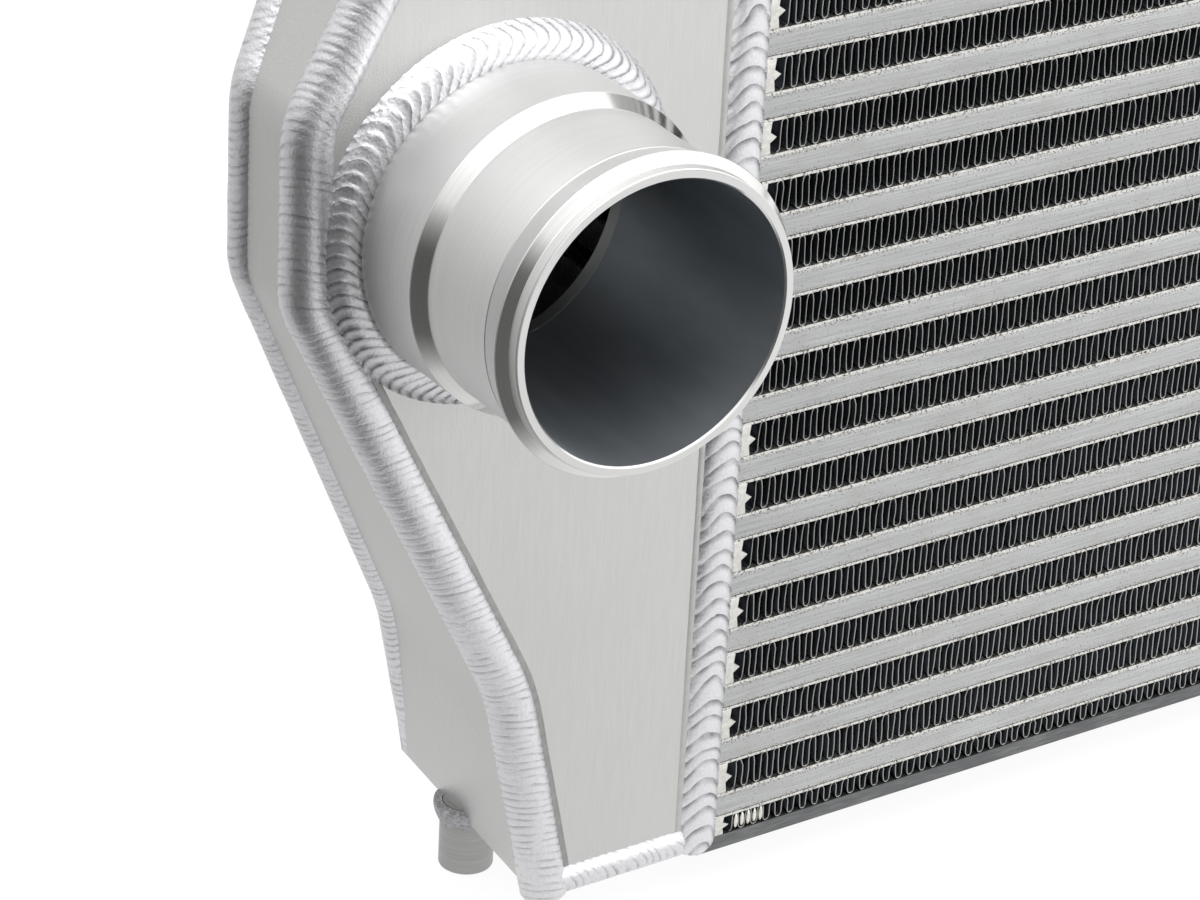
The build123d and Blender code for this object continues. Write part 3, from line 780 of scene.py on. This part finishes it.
# The collar is laid in one hot pass, so its metal is rough and sooty, in specks about 1 mm across
smoked_weld, shader, place = new_metal("smoked_weld", 0.55)
soot = add_node(smoked_weld, "ShaderNodeTexNoise",
                {"Vector": place, "Scale": 900.0, "Detail": 4.0}).outputs[0]
soot_tone = add_node(smoked_weld, "ShaderNodeMix", {"Factor": soot, 6: linear("#66666A"),
                                                    7: linear("#D8D8DA")}, data_type="RGBA").outputs[2]
soot_bump = add_node(smoked_weld, "ShaderNodeBump",
                     {"Height": soot, "Strength": 0.8, "Distance": 0.0006}).outputs[0]
feed(shader, {"Base Color": soot_tone, "Normal": soot_bump})
collar_reach = 9
collar_ripples = 18
collar_steps = 144
collar_outline = [(9.6, 10.8), (9.7, 9.6), (9.5, 8.4), (9.1, 7.2), (8.5, 6.0), (7.85, 5.05), (7.2, 5.3),
                  (7.2, 10.8)]
collar_section = [((r - collar_reach) * mm, z * mm, k / 7, 1.0 if k < 6 else 0.0)
                  for k, (r, z) in enumerate(collar_outline)]
collar_places = []
for k in range(collar_steps + 1):
    angle = 2 * math.pi * k / collar_steps
    collar_places.append(pin_centre + Vector((collar_reach * mm * math.cos(angle),
                                              collar_reach * mm * math.sin(angle), 0)))
collar = lay_bead("left_pin_collar", collar_places, lambda p: Vector((0, 0, 1)), -1, collar_section,
                  2 * math.pi * collar_reach * mm / collar_ripples, 0.4 * mm, 0.6, ["left_pin_weld"],
                  closed=True, seed=29.0, metal=smoked_weld)
twin(collar, ["right_pin_weld"])

# Photograph's viewpoint
# A long lens looks down at the lower left of the core from the left and the front.
camera_data = bpy.data.cameras.new("camera")
camera_data.lens = 138.18
camera_data.sensor_width = 36.0
camera_data.clip_start = 0.05
camera_data.clip_end = 20.0
camera = bpy.data.objects.new("camera", camera_data)
camera.location = (-0.97635, -0.92483, 0.69321)
camera.rotation_euler = [math.radians(angle) for angle in (62.515, -2.6773, -33.1721)]
bpy.context.scene.collection.objects.link(camera)
bpy.context.scene.camera = camera

# Studio
# The room is bright on the right and overhead, dimmer on the left, and dark where the photographer stands.
photographer = (-0.75, -0.6, -0.28)


def room_light(holder, direction):
    heading = add_node(holder, "ShaderNodeSeparateXYZ", {"Vector": direction})
    sideways = add_node(holder, "ShaderNodeMapRange", {"Value": heading.outputs["X"], "From Min": -1.0,
                                                       "To Min": 0.5, "To Max": 1.26}).outputs[0]
    overhead = add_node(holder, "ShaderNodeMapRange",
                        {"Value": heading.outputs["Z"], "To Max": 0.9}).outputs[0]
    open_room = add_node(holder, "ShaderNodeMath", {0: sideways, 1: overhead}, operation="ADD").outputs[0]
    towards = add_node(holder, "ShaderNodeVectorMath", {0: direction, 1: photographer},
                       operation="DOT_PRODUCT").outputs["Value"]
    shade = add_node(holder, "ShaderNodeMapRange", {"Value": towards, "From Min": 0.66, "From Max": 0.86,
                                                    "To Min": 1.0, "To Max": 0.22}).outputs[0]
    return add_node(holder, "ShaderNodeMath", {0: open_room, 1: shade}, operation="MULTIPLY").outputs[0]


# Floor and light
# A pale studio floor just under the pins, a white room for reflections, and soft lamps above, behind and
# in front.
floor_mesh = bmesh.new()
bmesh.ops.create_grid(floor_mesh, x_segments=1, y_segments=1, size=6.0)
bmesh.ops.translate(floor_mesh, verts=floor_mesh.verts, vec=(0, 0, -10.3 * mm))
floor_data = bpy.data.meshes.new("studio_floor")
floor_mesh.to_mesh(floor_data)
floor_mesh.free()
floor = bpy.data.objects.new("studio_floor", floor_data)
bpy.context.scene.collection.objects.link(floor)

# Matt background paper. The camera sees it white, and the metal sees the studio room in it
paper = bpy.data.materials.new("white_paper")
paper.use_nodes = True
paper_shader = paper.node_tree.nodes["Principled BSDF"]
feed(paper_shader, {"Base Color": linear("#F4F4F4"), "Roughness": 0.9})
rays = add_node(paper, "ShaderNodeLightPath", {})
floor_place = add_node(paper, "ShaderNodeTexCoord", {}).outputs["Object"]
from_tank = add_node(paper, "ShaderNodeVectorMath", {0: floor_place, 1: (0.4, 0, -0.2)},
                     operation="ADD").outputs[0]
outward = add_node(paper, "ShaderNodeVectorMath", {0: from_tank}, operation="NORMALIZE").outputs[0]
bounce = room_light(paper, outward)
mirrored = add_node(paper, "ShaderNodeEmission", {"Color": (1, 1, 1, 1), "Strength": bounce}).outputs[0]
glow = add_node(paper, "ShaderNodeEmission", {"Color": (1, 1, 1, 1), "Strength": 1.03}).outputs[0]
seen = add_node(paper, "ShaderNodeMath", {0: rays.outputs["Is Camera Ray"], 1: 0.9},
                operation="MULTIPLY").outputs[0]
lit = add_node(paper, "ShaderNodeMixShader", {0: rays.outputs["Is Glossy Ray"], 1: paper_shader.outputs[0],
                                              2: mirrored}).outputs[0]
blend = add_node(paper, "ShaderNodeMixShader", {0: seen, 1: lit, 2: glow}).outputs[0]
feed(paper.node_tree.nodes["Material Output"], {"Surface": blend})
floor_data.materials.append(paper)

world = bpy.data.worlds.new("studio")
bpy.context.scene.world = world
world.use_nodes = True
rays = add_node(world, "ShaderNodeLightPath", {})
direction = add_node(world, "ShaderNodeTexCoord", {}).outputs["Generated"]
walls = room_light(world, direction)
strength = add_node(world, "ShaderNodeMix", {0: rays.outputs["Is Camera Ray"], 2: walls, 3: 1.0}).outputs[0]
feed(world.node_tree.nodes["Background"], {"Color": (1, 1, 1, 1), "Strength": strength})


def soft_lamp(name, place, aim, size, power):
    lamp_data = bpy.data.lights.new(name, "AREA")
    lamp_data.shape = "RECTANGLE"
    lamp_data.size, lamp_data.size_y = size
    lamp_data.energy = power
    lamp = bpy.data.objects.new(name, lamp_data)
    lamp.location = place
    lamp.rotation_euler = (Vector(aim) - Vector(place)).to_track_quat("-Z", "Y").to_euler()
    bpy.context.scene.collection.objects.link(lamp)


soft_lamp("lamp_above", (-0.7, -0.5, 1.9), (-0.3, 0, 0.2), (1.2, 0.7), 12)
soft_lamp("lamp_behind", (0.9, 1.5, 1.4), (-0.3, 0, 0.2), (1.4, 0.9), 11)
soft_lamp("lamp_front", (0.9, -1.9, 0.8), (-0.2, 0, 0.2), (0.8, 1.0), 6)

bpy.context.scene.view_settings.view_transform = "Standard"
